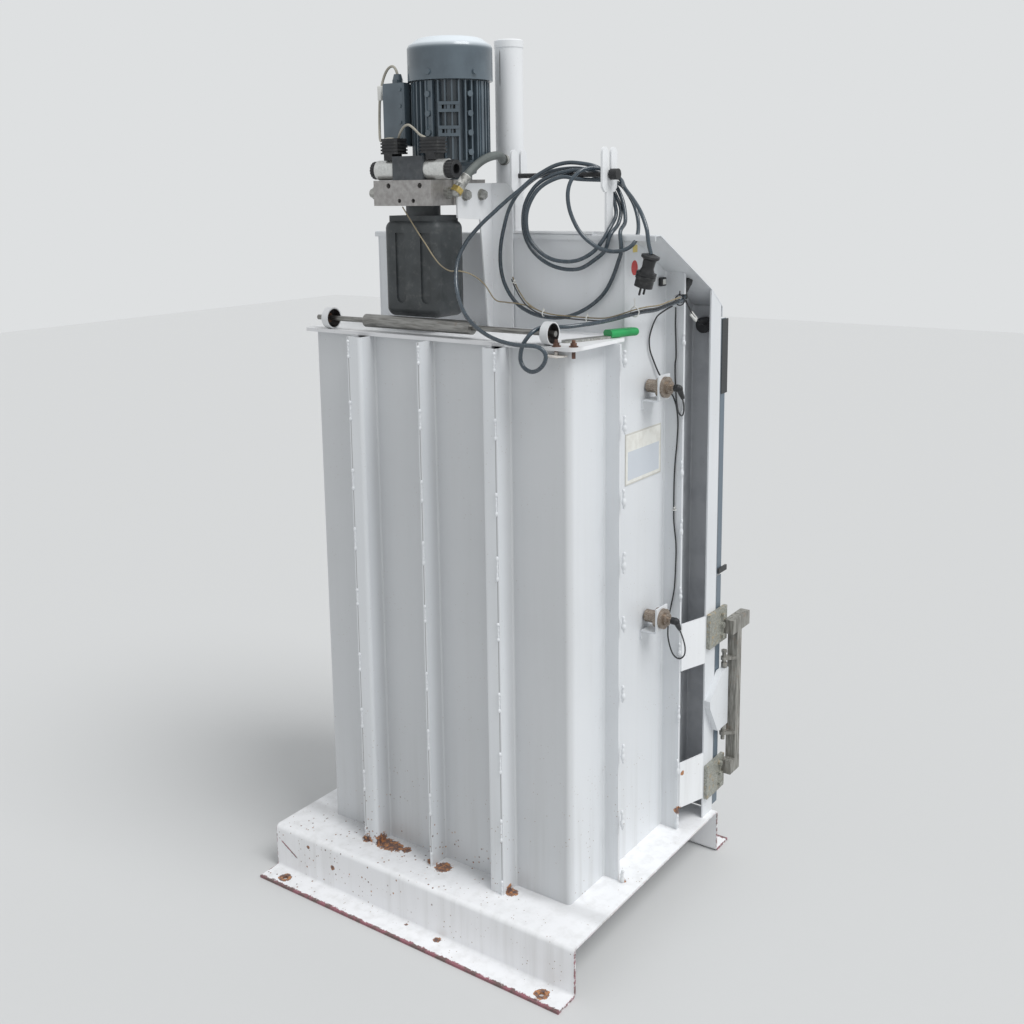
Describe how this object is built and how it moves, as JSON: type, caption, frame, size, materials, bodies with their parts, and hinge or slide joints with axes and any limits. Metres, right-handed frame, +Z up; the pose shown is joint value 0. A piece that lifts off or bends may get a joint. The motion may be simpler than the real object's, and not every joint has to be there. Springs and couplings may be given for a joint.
{
  "type": "recycling baler",
  "caption": "Upright waste baler with a ribbed sheet-steel chamber on a raised base, sloping control head, vertical cylinder, power pack, lever latch and hanging mains cable.",
  "frame": {"origin": "on the floor at the centre of the base sheet", "axes": "+Z up, -Y towards the doors (front), +X towards the door hinges"},
  "size_m": [0.92, 0.871, 2.027],
  "materials": {
    "white_paint": "powder-coated white, satin",
    "dark_steel": "dark satin",
    "bare_steel": "zinc plated, weathered",
    "worn_steel": "brown-grey, weathered, slightly rusty",
    "chromate": "yellow chromate, worn",
    "blue_grey": "blue-grey motor enamel",
    "tank_plastic": "dark grey blow-moulded plastic",
    "black_plastic": "black, satin",
    "cable_grey": "glossy grey-blue cable sheath",
    "hose_rubber": "grey textile-braided hose",
    "grip_green": "green, glossy",
    "button_red": "red, glossy",
    "button_green": "green, glossy",
    "rod_chrome": "hard chrome",
    "nickel_brass": "nickel-plated brass, tarnished",
    "bare_alu": "matt bare sheet",
    "coil_zinc": "pale grey coil housing",
    "port_steel": "milled block, oily"
  },
  "bodies": {
    "machine": {"base_plate": "white_paint", "floor_strips": "white_paint", "pan_mid_l": "white_paint", "pan_mid_r": "white_paint", "pan_corner_l": "white_paint", "pan_corner_r": "white_paint", "pan_side_l": "white_paint", "pan_side_r": "white_paint", "post_l": "white_paint", "post_r": "white_paint", "bridge_plates": "white_paint", "top_shelf": "white_paint", "head_back": "white_paint", "hood": "white_paint", "door_switch": "black_plastic", "latch_ear": "white_paint", "latch_pin": "worn_steel", "hinge_pintles": "worn_steel", "side_plate": "bare_alu", "cyl_flange": "dark_steel", "cyl_barrel": "white_paint", "hose": "hose_rubber", "hose_fittings": "bare_steel", "pack_bracket": "white_paint", "pack_bolts": "bare_steel", "pack_tank": "tank_plastic", "manifold": "port_steel", "valve_body": "dark_steel", "solenoids": "coil_zinc", "solenoid_nuts": "black_plastic", "din_plugs": "tank_plastic", "motor_body": "blue_grey", "fan_cowl": "blue_grey", "terminal_box": "blue_grey", "spool_bar": "bare_steel", "spool_cups": "white_paint", "strap_tool": "bare_steel", "tool_grip": "grip_green", "shelf_bolts": "worn_steel", "hanger_l": "white_paint", "hanger_r": "white_paint", "hanger_rod": "black_plastic", "sensor_brackets": "white_paint", "sensors": "nickel_brass", "small_cables": "black_plastic", "cable_gland": "black_plastic", "mains_cable": "cable_grey", "cable_coil": "cable_grey", "mains_plug": "black_plastic", "control_bezels": "black_plastic"},
    "ram": {"piston_rod": "rod_chrome", "press_plate": "white_paint"},
    "load_door": {"loading_door": "white_paint", "door_edge": "black_plastic"},
    "bale_door_body": {"bale_door": "white_paint"},
    "latch": {"latch_frame": "worn_steel", "latch_jaws": "chromate"},
    "stop": {"stop_button": "button_red"},
    "start": {"start_button": "button_green"},
    "key": {"key_switch": "black_plastic"}
  },
  "joints": [
    {"name": "ram_slide", "type": "slide", "parent": "machine", "child": "ram", "axis": [0, 0, -1], "range_m": [0, 0.58]},
    {"name": "loading_door_hinge", "type": "hinge", "parent": "machine", "child": "load_door", "pos_m": [0.443, -0.357, 1.06009], "axis": [0, 0, 1], "range_deg": [0, 115]},
    {"name": "bale_door_hinge", "type": "hinge", "parent": "machine", "child": "bale_door_body", "pos_m": [0.443, -0.357, 0.4305], "axis": [0, 0, 1], "range_deg": [0, 115]},
    {"name": "latch_hinge", "type": "hinge", "parent": "machine", "child": "latch", "pos_m": [-0.439, -0.376, 0.413], "axis": [0, 0, 1], "range_deg": [0, 65]},
    {"name": "stop_push", "type": "slide", "parent": "machine", "child": "stop", "axis": [0, 0.4679, -0.8838], "range_m": [0, 0.004], "stiffness_N_per_m": 900, "springref_m": -0.002},
    {"name": "start_push", "type": "slide", "parent": "machine", "child": "start", "axis": [0, 0.4679, -0.8838], "range_m": [0, 0.003], "stiffness_N_per_m": 500, "springref_m": -0.002},
    {"name": "key_turn", "type": "hinge", "parent": "machine", "child": "key", "pos_m": [0.22, -0.15123, 1.53159], "axis": [0, -0.4679, 0.8838], "range_deg": [-90, 0]}
  ]
}
